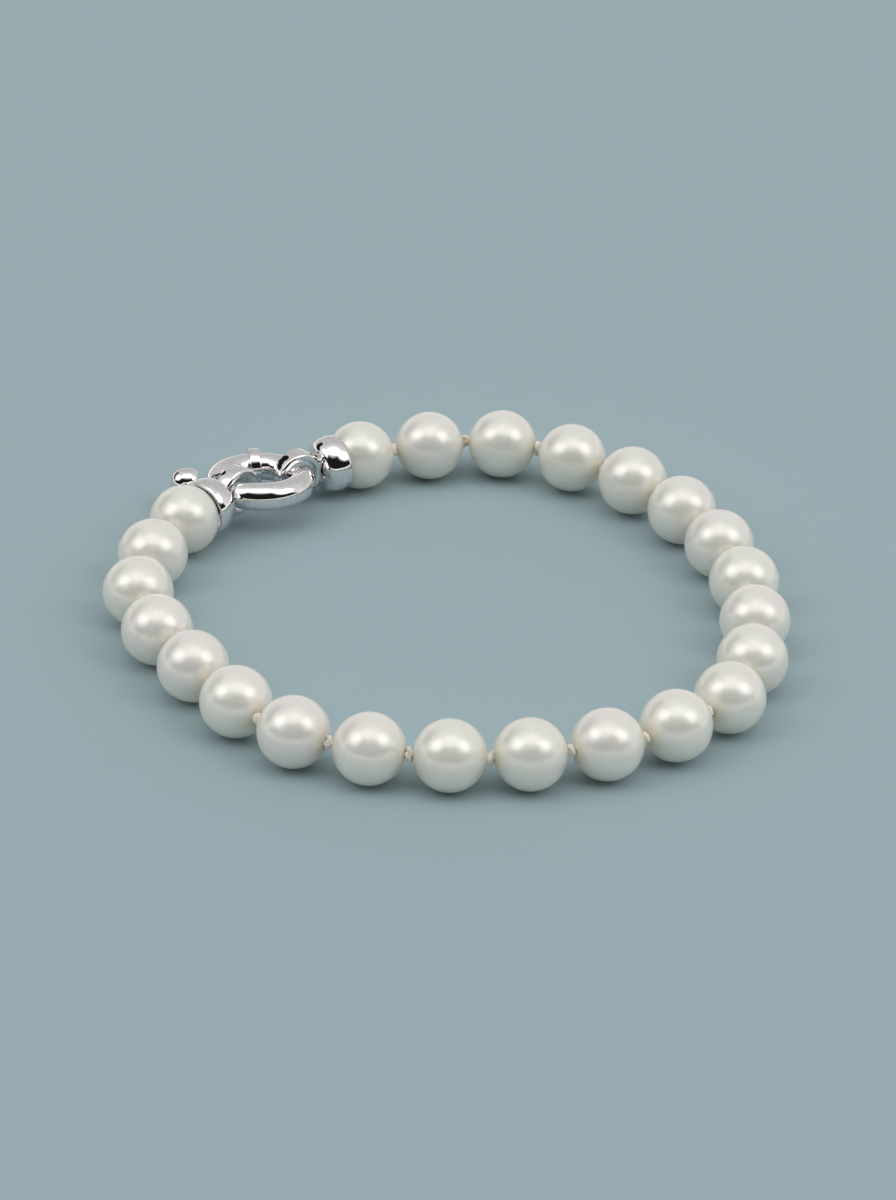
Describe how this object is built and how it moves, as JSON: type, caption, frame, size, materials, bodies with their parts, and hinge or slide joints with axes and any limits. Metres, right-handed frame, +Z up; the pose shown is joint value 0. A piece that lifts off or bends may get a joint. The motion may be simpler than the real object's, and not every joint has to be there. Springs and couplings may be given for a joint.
{
  "type": "pearl bracelet",
  "caption": "Bracelet of round drilled pearls knotted on silk, closed by a sprung silver bolt ring between end caps with eyes, lying as an open loop.",
  "frame": {"origin": "under the middle of the bracelet's plan, on the surface that the pearls rest on", "axes": "+Z up off the surface; -Y is the front of the loop, and the clasp lies at -X +Y"},
  "size_m": [0.0677, 0.0683, 0.007],
  "materials": {
    "pearl": "polished nacre, cream white with a soft lustre",
    "silk": "twisted ivory silk, matt",
    "silver": "high polish, rhodium-plated silver"
  },
  "bodies": {
    "bracelet": {"pearl_01": "pearl", "pearl_02": "pearl", "pearl_03": "pearl", "pearl_04": "pearl", "pearl_05": "pearl", "pearl_06": "pearl", "pearl_07": "pearl", "pearl_08": "pearl", "pearl_09": "pearl", "pearl_10": "pearl", "pearl_11": "pearl", "pearl_12": "pearl", "pearl_13": "pearl", "pearl_14": "pearl", "pearl_15": "pearl", "pearl_16": "pearl", "pearl_17": "pearl", "pearl_18": "pearl", "pearl_19": "pearl", "pearl_20": "pearl", "pearl_21": "pearl", "pearl_22": "pearl", "pearl_23": "pearl", "silk_strand": "silk", "end_cap_left": "silver", "end_cap_right": "silver", "bolt_ring": "silver"},
    "bolt": {"bolt_trigger": "silver"}
  },
  "joints": [
    {"name": "bolt_draw", "type": "hinge", "parent": "bracelet", "child": "bolt", "pos_m": [-0.01954, 0.02049, 0.0035], "axis": [-0.0274, 0.14, 0.9898], "range_deg": [-52, 0], "stiffness_Nm_per_rad": 0.01}
  ]
}
